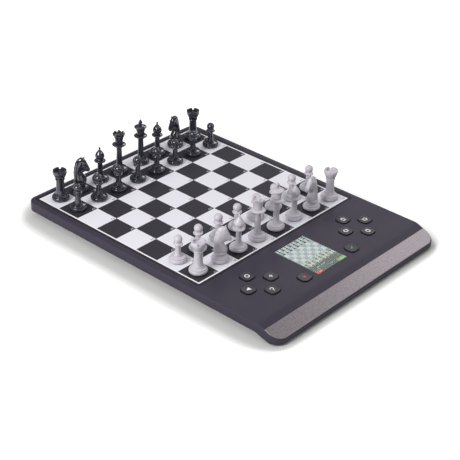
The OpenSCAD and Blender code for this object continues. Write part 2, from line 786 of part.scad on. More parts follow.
module knight(file, side) {
    foot_h = 11.2;
    sunk = 0.2;
    k = (knight_h - felt_t - foot_h + sunk) / 36;
    stand_officer(file, side, knight_r) {
        turned(concat(foot(knight_r, 3.8, foot_h - 2.2), bead(3.9, 0.8, foot_h - 2.1, foot_h - 1.1), [
            [6.9, foot_h - 0.9], [7.7, foot_h - 0.4], [7.7, foot_h], [7.2, foot_h + 0.5], [0, foot_h + 0.5]
        ]));
        rotate(knight_turns[side][file < 4 ? 0 : 1]) translate([0, 0, foot_h - sunk]) intersection() {
            rotate([90, 0, 0]) linear_extrude(14, center = true) polygon(horse_side(k));
            rotate([90, 0, 90]) linear_extrude(40, center = true) polygon(horse_front(k));
        }
    }
}

module officer(file, side) {
    if (officers[file] == "rook") rook(file, side);
    if (officers[file] == "knight") knight(file, side);
    if (officers[file] == "bishop") bishop(file, side);
    if (officers[file] == "queen") queen(file, side);
    if (officers[file] == "king") king(file, side);
}

// ---- what is drawn

top_shell();
bottom_shell();
front_strip();
playing_surface();
sensor_sheet();
sensor_cable();
display_window();
display_module();
main_board();
key_domes();
battery_door();
battery_cells();
battery_contacts();
loudspeaker();
power_socket();
rubber_feet();
housing_screws();
board_screws();
for (i = [0:len(KEYS) - 1])
    keycap(i);
for (s = [0, 1], f = [0:7]) {
    officer(f, s);
    pawn(f, s);
}
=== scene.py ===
import math
import bpy
import bmesh
import numpy as np
from mathutils import Matrix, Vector
from mathutils.geometry import tessellate_polygon


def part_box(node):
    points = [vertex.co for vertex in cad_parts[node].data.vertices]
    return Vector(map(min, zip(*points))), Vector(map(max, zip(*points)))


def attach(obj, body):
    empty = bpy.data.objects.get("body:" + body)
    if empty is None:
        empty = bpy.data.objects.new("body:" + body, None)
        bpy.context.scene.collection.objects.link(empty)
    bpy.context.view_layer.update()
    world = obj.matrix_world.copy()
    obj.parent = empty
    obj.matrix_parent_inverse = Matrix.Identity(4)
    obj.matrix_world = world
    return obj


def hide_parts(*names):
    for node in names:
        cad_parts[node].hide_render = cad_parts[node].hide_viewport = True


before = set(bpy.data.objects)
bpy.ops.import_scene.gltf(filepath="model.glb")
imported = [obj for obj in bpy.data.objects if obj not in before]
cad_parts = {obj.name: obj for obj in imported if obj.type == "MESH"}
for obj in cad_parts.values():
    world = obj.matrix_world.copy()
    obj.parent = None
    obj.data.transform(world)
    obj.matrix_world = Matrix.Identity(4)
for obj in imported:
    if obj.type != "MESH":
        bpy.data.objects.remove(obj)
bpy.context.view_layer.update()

mm = 0.001
print("frame loaded:", len(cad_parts), "nodes")


# meshes: points are in millimetres until they go into a mesh

def gridFaces(rows, cols, around, start=0):
    # quads between neighbouring rows and columns of a grid; around joins the last column to the first
    r, c = np.meshgrid(np.arange(rows - 1), np.arange(cols if around else cols - 1), indexing="ij")
    n = (c + 1) % cols
    quads = np.stack([r * cols + c, r * cols + n, (r + 1) * cols + n, (r + 1) * cols + c], -1)
    return (quads.reshape(-1, 4) + start).tolist()


def gridBlock(points, around=True, slot=0):
    # a block is (points, faces, material number); points is a grid of rows x columns x 3
    rows, cols = points.shape[:2]
    return points.reshape(-1, 3), gridFaces(rows, cols, around), slot


def flatBlock(outlines, z, slot=0, turnDown=False):
    # a flat plate inside the first outline and outside the others, at height z
    loops = [[(float(x), float(y), 0.0) for x, y in loop] for loop in outlines]
    triangles = [tuple(t) for t in tessellate_polygon(loops)]
    flat = np.array([p for loop in loops for p in loop])
    heights = z(flat[:, :2]) if callable(z) else z
    points = np.c_[flat[:, :2], np.broadcast_to(heights, len(flat))]
    faces = []
    for a, b, c in triangles:
        area = np.cross(points[b, :2] - points[a, :2], points[c, :2] - points[a, :2])
        if abs(area) < 1e-9:
            continue
        faces.append((a, b, c) if (area > 0) != turnDown else (a, c, b))
    return points, faces, slot


def moved(block, offset):
    return block[0] + np.asarray(offset, float), block[1], block[2]


def addPiece(name, blocks, materials, body, stands=(), sharp=40, closed=True, merge=True):
    # joins the blocks into one object at the origin; closed pieces get outward faces
    points, faces, numbers, start = [], [], [], 0
    for p, f, m in blocks:
        points.append(p)
        faces += [tuple(i + start for i in face) for face in f]
        numbers += [m] * len(f)
        start += len(p)
    mesh = bpy.data.meshes.new(name)
    mesh.from_pydata((np.concatenate(points) * mm).tolist(), [], faces)
    mesh.polygons.foreach_set("material_index", numbers)
    work = bmesh.new()
    work.from_mesh(mesh)
    if merge:
        bmesh.ops.remove_doubles(work, verts=work.verts, dist=2e-6)
    if closed:
        bmesh.ops.recalc_face_normals(work, faces=work.faces)
    work.to_mesh(mesh)
    work.free()
    mesh.shade_smooth()
    mesh.set_sharp_from_angle(angle=math.radians(sharp))
    for m in materials:
        mesh.materials.append(m)
    obj = bpy.data.objects.new(name, mesh)
    bpy.context.scene.collection.objects.link(obj)
    if stands:
        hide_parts(*stands)
    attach(obj, body)
    return obj


def polish(node, name, material, body, edge=0.3, sharp=35):
    # a merged copy of a CAD node whose edges are rounded by edge millimetres
    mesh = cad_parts[node].data.copy()
    mesh.name = name
    work = bmesh.new()
    work.from_mesh(mesh)
    bmesh.ops.remove_doubles(work, verts=work.verts, dist=2e-6)
    bmesh.ops.dissolve_limit(work, angle_limit=math.radians(0.3), verts=work.verts, edges=work.edges)
    work.to_mesh(mesh)
    work.free()
    mesh.shade_smooth()
    mesh.set_sharp_from_angle(angle=math.radians(sharp))
    mesh.materials.clear()
    mesh.materials.append(material)
    obj = bpy.data.objects.new(name, mesh)
    bpy.context.scene.collection.objects.link(obj)
    if edge:
        bevel = obj.modifiers.new("softEdges", "BEVEL")
        bevel.width = edge * mm
        bevel.segments = 2
        bevel.limit_method = "ANGLE"
        bevel.angle_limit = math.radians(sharp)
        bevel.harden_normals = True
    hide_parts(node)
    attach(obj, body)
    return obj


def throughPoints(points, steps):
    # Catmull-Rom curve through the rows of points, steps samples between neighbours
    p = np.asarray(points, float)
    p = np.vstack([2 * p[0] - p[1], p, 2 * p[-1] - p[-2]])
    t = (np.arange(steps) / steps)[:, None]
    parts = []
    for i in range(1, len(p) - 2):
        a, b, c, d = p[i - 1], p[i], p[i + 1], p[i + 2]
        square, cube = 2 * a - 5 * b + 4 * c - d, 3 * b - a - 3 * c + d
        parts.append(0.5 * (2 * b + (c - a) * t + square * t ** 2 + cube * t ** 3))
    return np.vstack(parts + [p[-2][None]])


def roundedLoop(width, depth, radius, centre=(0, 0), steps=10):
    # a rectangle's outline with quarter circles at its corners, anticlockwise
    angles = np.linspace(0, math.pi / 2, steps + 1)
    loop = []
    for k, (sx, sy) in enumerate([(1, 1), (-1, 1), (-1, -1), (1, -1)]):
        a = angles + k * math.pi / 2
        x = sx * (width / 2 - radius) + radius * np.cos(a)
        loop.append(np.c_[x, sy * (depth / 2 - radius) + radius * np.sin(a)])
    return np.vstack(loop) + np.asarray(centre, float)


# materials: every one has its own grain, worked out from Object coordinates

def tone(r, g, b):
    # a colour from 0-255 display values
    def linear(v):
        v /= 255
        return v / 12.92 if v <= 0.04045 else ((v + 0.055) / 1.055) ** 2.4
    return linear(r), linear(g), linear(b), 1.0


def blankMaterial(name):
    material = bpy.data.materials.new(name)
    material.use_nodes = True
    tree = material.node_tree
    shader = tree.nodes["Principled BSDF"]
    coords = tree.nodes.new("ShaderNodeTexCoord")
    return material, tree, shader, coords.outputs["Object"]


def noiseNode(tree, vector, scale, detail=2.0):
    noise = tree.nodes.new("ShaderNodeTexNoise")
    noise.inputs["Scale"].default_value = scale
    noise.inputs["Detail"].default_value = detail
    tree.links.new(vector, noise.inputs["Vector"])
    return noise.outputs["Fac"]


def mixColours(tree, factor, a, b):
    mix = tree.nodes.new("ShaderNodeMix")
    mix.data_type = "RGBA"
    for value, place in ((factor, 0), (a, 6), (b, 7)):
        if isinstance(value, bpy.types.NodeSocket):
            tree.links.new(value, mix.inputs[place])
        else:
            mix.inputs[place].default_value = value
    return mix.outputs[2]


def rangeNode(tree, value, low, high, newLow, newHigh):
    node = tree.nodes.new("ShaderNodeMapRange")
    tree.links.new(value, node.inputs["Value"])
    for key, number in zip(("From Min", "From Max", "To Min", "To Max"), (low, high, newLow, newHigh)):
        node.inputs[key].default_value = number
    return node.outputs["Result"]


def mathNode(tree, operation, *values, kind="Math"):
    # a value or a socket for each input, in order
    node = tree.nodes.new("ShaderNode" + kind)
    node.operation = operation
    for i, value in enumerate(values):
        if isinstance(value, bpy.types.NodeSocket):
            tree.links.new(value, node.inputs[i])
        else:
            node.inputs[i].default_value = value
    return node.outputs[0]


def bumpNode(tree, shader, height, depth):
    bump = tree.nodes.new("ShaderNodeBump")
    bump.inputs["Strength"].default_value = 0.4
    bump.inputs["Distance"].default_value = depth * mm
    tree.links.new(height, bump.inputs["Height"])
    tree.links.new(bump.outputs["Normal"], shader.inputs["Normal"])


def moulded(name, colour, roughness, vary=0.08, grain=1600, depth=0.02, patch=25, metal=0, gloss=0.5):
    # moulded or worked stock: slow changes of shade over the part and a fine grain in its surface;
    # patch and grain are the scales of the two, depth is the grain's height in millimetres
    material, tree, shader, place = blankMaterial(name)
    slow = noiseNode(tree, place, patch, 3)
    fine = noiseNode(tree, place, grain)
    dark = tuple(c * (1 - vary) for c in colour[:3]) + (1,)
    light = tuple(min(1, c * (1 + vary)) for c in colour[:3]) + (1,)
    blend = mathNode(tree, "MULTIPLY_ADD", fine, 0.5, rangeNode(tree, slow, 0.3, 0.7, 0, 0.5))
    tree.links.new(mixColours(tree, blend, dark, light), shader.inputs["Base Color"])
    worn = rangeNode(tree, slow, 0.3, 0.7, roughness - 0.04, roughness + 0.04)
    tree.links.new(worn, shader.inputs["Roughness"])
    shader.inputs["Metallic"].default_value = metal
    shader.inputs["Specular IOR Level"].default_value = gloss
    bumpNode(tree, shader, fine, depth)
    return material


finishes = {
    "deck": tone(56, 51, 65), "base": tone(44, 42, 50), "key": tone(50, 46, 56),
    "whiteMen": tone(197, 192, 200), "blackMen": tone(40, 40, 52), "strip": tone(138, 131, 136),
}
deckPlastic = moulded("deckPlastic", finishes["deck"], 0.5, grain=2200, depth=0.015, gloss=0.22)
basePlastic = moulded("basePlastic", finishes["base"], 0.55, grain=1800, gloss=0.3)
keyPlastic = moulded("keyPlastic", finishes["key"], 0.42, grain=2600, depth=0.01, gloss=0.35)
# painted shade: the keys' side walls are near-black to stand in for the shadow in the gap round each key
skirtPaintedShade = moulded("keySkirtPaintedShade", tone(12, 11, 14), 0.6, grain=2600, depth=0.01, gloss=0.15)
whiteSet = moulded("whiteSet", finishes["whiteMen"], 0.3, vary=0.04, grain=900, depth=0.01, gloss=0.5)
blackSet = moulded("blackSet", finishes["blackMen"], 0.1, vary=0.1, grain=700, depth=0.06, gloss=0.9)
feltGreen = moulded("feltGreen", tone(30, 60, 42), 0.95, vary=0.25, grain=3000, depth=0.1)
satinMetal = moulded("satinMetal", finishes["strip"], 0.36, vary=0.3, grain=1000, depth=0.06, patch=500,
                     metal=0.85)
steel = moulded("platedSteel", tone(190, 190, 192), 0.3, vary=0.06, grain=1200, depth=0.01, metal=1)
nickel = moulded("springNickel", tone(205, 202, 192), 0.25, vary=0.08, grain=900, depth=0.01, metal=1)
rubber = moulded("footRubber", tone(38, 38, 40), 0.8, vary=0.15, grain=1500, depth=0.03)
silicone = moulded("domeSilicone", tone(214, 214, 206), 0.5, vary=0.03, grain=700)
amberFilm = moulded("amberFilm", tone(196, 140, 64), 0.35, vary=0.12, grain=300)
paperCone = moulded("speakerPaper", tone(46, 45, 44), 0.85, vary=0.2, grain=1800, depth=0.05)
blackMould = moulded("socketMould", tone(28, 28, 30), 0.32, vary=0.15, grain=1500)
mark = moulded("whiteMark", tone(236, 234, 238), 0.5, vary=0.03, grain=2000, depth=0.002)
redMark = moulded("redMark", tone(226, 84, 96), 0.5, vary=0.06, grain=2000, depth=0.002)
greenMark = moulded("greenMark", tone(74, 190, 112), 0.5, vary=0.06, grain=2000, depth=0.002)
darkInk = moulded("darkInk", tone(62, 60, 68), 0.6, vary=0.1, grain=2500, depth=0.002)
paleInk = moulded("paleInk", tone(214, 212, 220), 0.6, vary=0.04, grain=2500, depth=0.002)


def circuitMaterial():
    # green mask with copper lanes that a brick pattern lays out
    material, tree, shader, place = blankMaterial("circuitMask")
    lanes = tree.nodes.new("ShaderNodeTexBrick")
    lanes.inputs["Scale"].default_value = 90
    lanes.inputs["Color1"].default_value = tone(22, 84, 52)
    lanes.inputs["Color2"].default_value = tone(26, 96, 58)
    lanes.inputs["Mortar"].default_value = tone(60, 130, 84)
    tree.links.new(place, lanes.inputs["Vector"])
    tree.links.new(lanes.outputs["Color"], shader.inputs["Base Color"])
    tree.links.new(rangeNode(tree, noiseNode(tree, place, 400), 0, 1, 0.25, 0.45), shader.inputs["Roughness"])
    return material


def jacketMaterial():
    # a cell's foil jacket: a dark sleeve with a copper-coloured end
    material, tree, shader, place = blankMaterial("cellJacket")
    axes = tree.nodes.new("ShaderNodeSeparateXYZ")
    tree.links.new(place, axes.inputs[0])
    step = rangeNode(tree, axes.outputs["X"], 0.0099, 0.0101, 0, 1)
    tree.links.new(mixColours(tree, step, tone(46, 48, 54), tone(196, 132, 76)), shader.inputs["Base Color"])
    tree.links.new(rangeNode(tree, noiseNode(tree, place, 600), 0, 1, 0.22, 0.36), shader.inputs["Roughness"])
    shader.inputs["Metallic"].default_value = 0.6
    return material


def glassMaterial():
    # a clear pane: mostly see-through, with a gloss that a faint haze breaks up
    material, tree, shader, place = blankMaterial("windowGlass")
    haze = noiseNode(tree, place, 300)
    tint = mixColours(tree, haze, tone(150, 158, 160), tone(160, 168, 170))
    tree.links.new(tint, shader.inputs["Base Color"])
    tree.links.new(rangeNode(tree, haze, 0, 1, 0.08, 0.14), shader.inputs["Roughness"])
    shader.inputs["Alpha"].default_value = 0.12
    return material


def boardMaterial(field, middle, line):
    # 8 x 8 squares by the parity of the whole squares from the field's corner; outside them a line and a margin
    material, tree, shader, place = blankMaterial("boardPrint")
    shift = tree.nodes.new("ShaderNodeMapping")
    shift.vector_type = "POINT"
    shift.inputs["Location"].default_value = (field / 2 * mm, (field / 2 - middle) * mm, 0)
    tree.links.new(place, shift.inputs["Vector"])
    squares = tree.nodes.new("ShaderNodeTexChecker")
    squares.inputs["Scale"].default_value = 8 / (field * mm)
    shifted = shift.outputs["Vector"]
    level = mathNode(tree, "MULTIPLY_ADD", shifted, (1, 1, 0), (0, 0, 0.1 * mm), kind="VectorMath")
    tree.links.new(level, squares.inputs["Vector"])
    # distance outside the field: the larger of |x| and |y - middle|, less half the field
    away = mathNode(tree, "SUBTRACT", place, (0, middle * mm, 0), kind="VectorMath")
    axes = tree.nodes.new("ShaderNodeSeparateXYZ")
    tree.links.new(mathNode(tree, "ABSOLUTE", away, kind="VectorMath"), axes.inputs[0])
    larger = mathNode(tree, "MAXIMUM", axes.outputs["X"], axes.outputs["Y"])
    edge, half, blur = field / 2 * mm, line / 2 * mm, 0.05 * mm
    onLine = rangeNode(tree, larger, edge - half - blur, edge - half + blur, 0, 1)
    onMargin = rangeNode(tree, larger, edge + half - blur, edge + half + blur, 0, 1)
    fibre = noiseNode(tree, place, 1500, 3)
    white = mixColours(tree, fibre, tone(222, 220, 228), tone(232, 230, 237))
    black = mixColours(tree, fibre, tone(42, 40, 47), tone(50, 48, 55))
    ground = mixColours(tree, squares.outputs["Fac"], black, white)
    lined = mixColours(tree, onLine, ground, tone(236, 234, 240))
    tree.links.new(mixColours(tree, onMargin, lined, tone(36, 34, 40)), shader.inputs["Base Color"])
    tree.links.new(rangeNode(tree, fibre, 0, 1, 0.5, 0.6), shader.inputs["Roughness"])
    shader.inputs["Specular IOR Level"].default_value = 0.25
    bumpNode(tree, shader, fibre, 0.01)
    return material


def screenMaterial(name, colour):
    # a lit area of the display: fine rows of dots
    material, tree, shader, place = blankMaterial(name)
    dots = noiseNode(tree, place, 4000, 0)
    dim = tuple(c * 0.94 for c in colour[:3]) + (1,)
    shade = mixColours(tree, dots, dim, colour)
    tree.links.new(shade, shader.inputs["Base Color"])
    tree.links.new(shade, shader.inputs["Emission Color"])
    shader.inputs["Emission Strength"].default_value = 0.1
    shader.inputs["Roughness"].default_value = 0.5
    return material


print("materials ready")

# housing

housing = {
    "width": 290, "front": -199.5, "back": 199.5, "deck": 20.6, "wall": 12.2, "wallThick": 2.0, "topThick": 2.2,
    "frontRadius": 15, "backRadius": 12, "edgeRadius": 1.3,
    "slopeLength": 32.5, "slopeAngle": 22, "bendRadius": 16,
    "lipBottom": 2.8, "lipLength": 12.5, "lipRise": 19,
}
board = {
    "square": 33.0, "middle": 57.5, "line": 2.0, "sheetTop": 20.3,
    "recess": 273.2, "recessRadius": 3, "recessFloor": 18.8,
}
display = {"width": 52.0, "depth": 66.0, "middle": -124.3, "radius": 1.0}
keyPlan = {"width": 15.2, "gap": 0.35, "radius": 5.1}
slope = math.radians(housing["slopeAngle"])
bendY = housing["front"] + housing["slopeLength"]
bendZ = housing["deck"] - housing["bendRadius"]
arcY = bendY - housing["bendRadius"] * math.sin(slope)
arcZ = bendZ + housing["bendRadius"] * math.cos(slope)
keyNames = [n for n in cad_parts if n.startswith("key_") and n != "key_domes"]


def keyCentre(name):
    low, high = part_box(name)
    return (low[0] + high[0]) / 2 / mm, (low[1] + high[1]) / 2 / mm


def deckHeight(y):
    # flat behind the bend, a circle's arc round it, then a straight slope down to the front
    arc = bendZ + np.sqrt(np.maximum(housing["bendRadius"] ** 2 - (y - bendY) ** 2, 0))
    straight = arcZ - (arcY - y) * math.tan(slope)
    return np.where(y > bendY, housing["deck"], np.where(y > arcY, arc, straight))


def lowerEdge(y):
    # the wall's lower edge: level under the lip, a smooth rise, level to the back
    t = np.clip((y - housing["front"] - housing["lipLength"]) / housing["lipRise"], 0, 1)
    return housing["lipBottom"] + (housing["deck"] - housing["wall"] - housing["lipBottom"]) * t


def housingOutline():
    # points and outward normals round the housing, with rows close together where the height changes
    w, f, b = housing["width"] / 2, housing["front"], housing["back"]
    rf, rb = housing["frontRadius"], housing["backRadius"]
    a = np.linspace(0, math.pi / 2, 13)
    onSlope, onArc = np.arange(f + rf, arcY, 1.5), np.linspace(arcY, bendY, 9)
    side = np.unique(np.round(np.r_[onSlope, onArc, np.arange(bendY, b - rb, 12), b - rb], 4))
    right = np.c_[np.full(len(side), w), side, np.ones(len(side)), np.zeros(len(side))]
    backRight = np.c_[w - rb + rb * np.cos(a), b - rb + rb * np.sin(a), np.cos(a), np.sin(a)]
    frontRight = np.c_[w - rf + rf * np.sin(a), f + rf - rf * np.cos(a), np.sin(a), -np.cos(a)]
    half = np.vstack([frontRight[:-1], right, backRight[1:]])
    other = half[::-1] * [-1, 1, -1, 1]
    return half, np.vstack([half, other])


socketBore = {"radius": 3.45, "reach": 6}


def housingShell():
    halfRows, outline = housingOutline()
    edge, thick, top = housing["edgeRadius"], housing["wallThick"], housing["topThick"]
    under = housing["deck"] - top
    turn = np.linspace(math.pi / 2, 0, 7)
    across = 41  # points in each row from side to side
    soft = 0.3  # the rounding at the openings' edges
    # round the outline: inner wall down, lower edge, outer wall up and a quarter circle over to the deck
    profile = [(thick, "deck", -top), (thick, "edge", 0.3), (thick - 0.3, "edge", 0)]
    profile += [(0.4, "edge", 0), (0, "edge", 0.4)]
    profile += [(edge * (1 - math.sin(t)), "deck", -edge * (1 - math.cos(t))) for t in turn]
    rows = []
    for inset, level, rise in profile:
        p = outline[:, :2] - outline[:, 2:] * inset
        z = deckHeight(p[:, 1]) if level == "deck" else lowerEdge(outline[:, 1])
        rows.append(np.c_[p, z + rise])
    blocks = [gridBlock(np.array(rows), True)]
    # the flat deck with its openings, and the sloping front as straight rows from side to side
    for inset, drop, down in ((edge, 0, False), (thick, top, True)):
        loop = outline[:, :2] - outline[:, 2:] * inset
        flatPart = loop[outline[:, 1] > bendY - 1e-3]
        count = len(halfRows)
        rightPart = loop[:count][halfRows[:, 1] < bendY + 1e-3]
        xs, ys = np.linspace(-rightPart[:, 0], rightPart[:, 0], across, axis=1), rightPart[:, 1:]
        rowsAcross = np.stack(np.broadcast_arrays(xs, ys, deckHeight(ys) - drop), -1)
        blocks.append((rowsAcross.reshape(-1, 3), gridFaces(len(rightPart), across, False), 0))
        bendRow = rowsAcross[-1][1:-1, :2]
        openings = [roundedLoop(display["width"], display["depth"], display["radius"], (0, display["middle"]))]
        openings += [roundedLoop(keyPlan["width"] + 2 * keyPlan["gap"], keyPlan["width"] + 2 * keyPlan["gap"],
                                 keyPlan["radius"] + keyPlan["gap"], keyCentre(n)) for n in keyNames]
        if not down:
            wide = board["recess"]
            openings.append(roundedLoop(wide, wide, board["recessRadius"], (0, board["middle"])))
        fullLoop = np.vstack([flatPart, bendRow])
        grown = [spread(o, 0 if down else soft) for o in openings]
        blocks.append(flatBlock([fullLoop] + [g[::-1] for g in grown], housing["deck"] - drop, 0, down))
        if not down:
            for i, o in enumerate(openings):
                bottom = board["recessFloor"] if i == len(openings) - 1 else under
                wall = [np.c_[spread(o, soft), np.full(len(o), housing["deck"])],
                        np.c_[spread(o, 0.1), np.full(len(o), housing["deck"] - 0.08)],
                        np.c_[o, np.full(len(o), housing["deck"] - soft)], np.c_[o, np.full(len(o), bottom)]]
                blocks.append(gridBlock(np.array(wall), True))
            blocks.append(flatBlock([openings[-1]], board["recessFloor"]))
    shell = addPiece("housingShell", blocks, [deckPlastic], "housing", ["top_shell"], 30)
    boreThrough(shell, (housing["width"] / 2, *socketCentre()), socketBore["radius"], socketBore["reach"])
    # the large faces set the shading of their own corners
    even = shell.modifiers.new("evenShading", "WEIGHTED_NORMAL")
    even.keep_sharp = True
    return shell


def spread(loop, distance):
    # a loop moved outwards along its own normals by distance
    ahead, behind = np.roll(loop, -1, 0), np.roll(loop, 1, 0)
    along = ahead - behind
    normal = np.c_[along[:, 1], -along[:, 0]]
    return loop + normal / np.linalg.norm(normal, axis=1)[:, None] * distance


def socketCentre():
    low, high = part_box("power_socket")
    return (low[1] + high[1]) / 2 / mm, (low[2] + high[2]) / 2 / mm


def boreThrough(obj, centre, radius, length):
    # cuts a round hole along X and keeps the result in the piece's own mesh
    a = np.linspace(0, 2 * math.pi, 49)[:-1]
    rings = [np.c_[np.full(48, x), centre[1] + r * np.cos(a), centre[2] + r * np.sin(a)]
             for x, r in ((-length, 0), (-length, radius), (length, radius), (length, 0))]
    mesh = bpy.data.meshes.new("bore")
    points = np.array(rings)
    points[:, :, 0] += centre[0]
    mesh.from_pydata((points.reshape(-1, 3) * mm).tolist(), [], gridFaces(4, 48, True))
    work = bmesh.new()
    work.from_mesh(mesh)
    bmesh.ops.remove_doubles(work, verts=work.verts, dist=1e-7)
    bmesh.ops.recalc_face_normals(work, faces=work.faces)
    work.to_mesh(mesh)
    work.free()
    cutter = bpy.data.objects.new("bore", mesh)
    bpy.context.scene.collection.objects.link(cutter)
    cut = obj.modifiers.new("bore", "BOOLEAN")
    cut.operation = "DIFFERENCE"
    cut.object = cutter
    cut.solver = "EXACT"
    bpy.context.view_layer.update()
    result = bpy.data.meshes.new_from_object(obj.evaluated_get(bpy.context.evaluated_depsgraph_get()))
    obj.modifiers.remove(cut)
    obj.data = result
    result.name = obj.name
    bpy.data.objects.remove(cutter)
    bpy.data.meshes.remove(mesh)


shell = housingShell()
print("housing shell:", len(shell.data.polygons), "faces")

polish("bottom_shell", "baseShell", basePlastic, "housing", 0.4)
polish("battery_door", "batteryDoor", basePlastic, "battery_door", 0.2)
polish("front_strip", "metalStrip", satinMetal, "housing", 0.6)
polish("rubber_feet", "rubberFeet", rubber, "housing", 0.3)
polish("housing_screws", "housingScrews", steel, "housing", 0.12)
polish("power_socket", "powerSocket", blackMould, "housing", 0.15)


def dress(node, material):
    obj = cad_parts[node]
    if not obj.material_slots:
        obj.data.materials.append(material)
    for s in obj.material_slots:
        s.material = material


boardPrint = boardMaterial(8 * board["square"], board["middle"], board["line"])
partFinishes = {
    "playing_surface": boardPrint, "sensor_sheet": amberFilm, "sensor_cable": amberFilm,
    "display_window": glassMaterial(), "display_module": blackMould, "main_board": circuitMaterial(),
    "key_domes": silicone, "battery_cells": jacketMaterial(), "battery_contacts": nickel,
    "loudspeaker": paperCone, "board_screws": steel,
}
for node, material in partFinishes.items():
    dress(node, material)
print("housing parts dressed")

# board marks

marks = {"size": 4.4, "inset": 1.3, "lift": 0.03}


def glyphMesh(text, size):
    # the flat outline of a short text in millimetres, its lower left corner at the origin
    curve = bpy.data.curves.new("glyph", "FONT")
    curve.body = text
    curve.size = size
    curve.resolution_u = 3
    obj = bpy.data.objects.new("glyph", curve)
    bpy.context.scene.collection.objects.link(obj)
    bpy.context.view_layer.update()
    mesh = bpy.data.meshes.new_from_object(obj.evaluated_get(bpy.context.evaluated_depsgraph_get()))
    points = np.array([v.co for v in mesh.vertices])
    points[:, :2] -= points[:, :2].min(0)
    faces = [tuple(p.vertices) for p in mesh.polygons]
    bpy.data.objects.remove(obj)
    bpy.data.curves.remove(curve)
    bpy.data.meshes.remove(mesh)
    return points, faces


def squareMarks():
    # each square's name in its front right corner, dark on a white square and pale on a dark one
    blocks = []
    for f in range(8):
        for r in range(8):
            points, faces = glyphMesh("ABCDEFGH"[f] + str(r + 1), marks["size"])
            wide = points[:, 0].max()
            x = (f - 3) * board["square"] - wide - marks["inset"]
            y = board["middle"] + (r - 4) * board["square"] + marks["inset"]
            z = board["sheetTop"] + marks["lift"]
            blocks.append((points + [x, y, z], faces, 0 if (f + r) % 2 else 1))
    return addPiece("squareMarks", blocks, [darkInk, paleInk], "housing",
                    closed=False, merge=False)


squareMarks()
print("square marks printed")

# keys

keyShape = {
    "proud": 1.5, "edge": 0.9, "dish": 0.12, "collar": 1.3, "collarTop": 18.1, "collarBottom": 17.1,
    "postRadius": 3, "skirtRows": 7, "markLift": 0.02,
}


def keyCap(name):
    # rounded squares stacked from the collar to the rim, then drawn in over a dished top
    x, y = keyCentre(name)
    w, r = keyPlan["width"], keyPlan["radius"]
    top = housing["deck"] + keyShape["proud"]
    low, high = keyShape["collarBottom"], keyShape["collarTop"]
    grow = keyShape["collar"]
    stack = [(grow + r - w / 2, low), (grow, low), (grow, high), (0, high), (0, top - keyShape["edge"])]
    turn = np.linspace(0, math.pi / 2, 7)[1:]
    stack += [(-keyShape["edge"] * (1 - math.cos(t)), top - keyShape["edge"] * (1 - math.sin(t))) for t in turn]
    inner = np.linspace(keyShape["edge"], w / 2 - 0.01, 8)[1:]
    depth = (inner - keyShape["edge"]) / (w / 2 - keyShape["edge"])
    stack += [(-d, top - keyShape["dish"] * math.sin(math.pi / 2 * t)) for d, t in zip(inner, depth)]
    rows = []
    for grown, z in stack:
        side = w + 2 * grown
        radius = min(max(r + grown, 0.3), side / 2)
        rows.append(np.c_[roundedLoop(side, side, radius, (x, y), 8), np.full(36, z)])
    rows.insert(0, np.c_[np.full((36, 2), (x, y)), np.full(36, low)])
    rows.append(np.c_[np.full((36, 2), (x, y)), np.full(36, top - keyShape["dish"])])
    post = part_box(name)[0][2] / mm
    a = np.linspace(0, 2 * math.pi, 33)[:-1]
    wide, tip = keyShape["postRadius"], low + 0.2
    stem = [np.c_[x + d * np.cos(a), y + d * np.sin(a), np.full(32, z)]
            for d, z in ((0, post), (wide, post), (wide, tip), (0, tip))]
    # the skirt carries painted shade: it is near-black, darker than the cap's face, and stands in for the
    # shadow in the gap round the key; the two share the row of points between them
    rows, split = np.array(rows), keyShape["skirtRows"]
    blocks = [gridBlock(rows[:split + 1], slot=1), gridBlock(rows[split:]), gridBlock(np.array(stem))]
    finish = [keyPlastic, skirtPaintedShade]
    return addPiece(name.replace("key_", "cap_"), blocks, finish, name, [name], 50)


def strokePath(points, width):
    # a line of that width along the points, with square ends, as one flat strip
    p = np.asarray(points, float)
    along = np.gradient(p, axis=0)
    along /= np.linalg.norm(along, axis=1)[:, None]
    side = np.c_[-along[:, 1], along[:, 0]] * width / 2
    return np.stack([p + side, p - side], 1)


def strip(points, width):
    # the flat strip of strokePath as one block at height zero
    g = strokePath(points, width)
    return np.c_[g.reshape(-1, 2), np.zeros(g.shape[0] * 2)], gridFaces(g.shape[0], 2, False), 0


def fill(points):
    # one flat face inside an outline
    p = np.asarray(points, float)
    return np.c_[p, np.zeros(len(p))], [tuple(range(len(p)))], 0


icons = {
    "ringRadius": 2.6, "ringStroke": 1.1, "plusArm": 2.5, "plusStroke": 1.2, "hookRadius": 1.9,
    "hookStroke": 1.0, "crossArm": 1.5, "thinStroke": 0.9, "arrowInside": 0.6,
    "wedge": [(-3.2, 0), (2.4, -2.9), (2.4, 2.9)],
    "arrow": [(0, 3.6), (-3.7, 0.3), (-2.3, 0.3), (-2.3, -3.1), (2.3, -3.1), (2.3, 0.3), (3.7, 0.3)],
    "arrowTurns": {"up": 0, "left": math.pi / 2, "down": math.pi, "right": -math.pi / 2},
}


def hollowArrow(turn):
    # the arrow's outline with a smaller one cut out, both turned by the same angle
    c, s = math.cos(turn), math.sin(turn)
    arrow = np.array(icons["arrow"])
    outer = arrow @ np.array([[c, s], [-s, c]])
    inner = (arrow * icons["arrowInside"] + [0, -0.05]) @ np.array([[c, s], [-s, c]])
    return [flatBlock([outer, inner[::-1]], 0)]


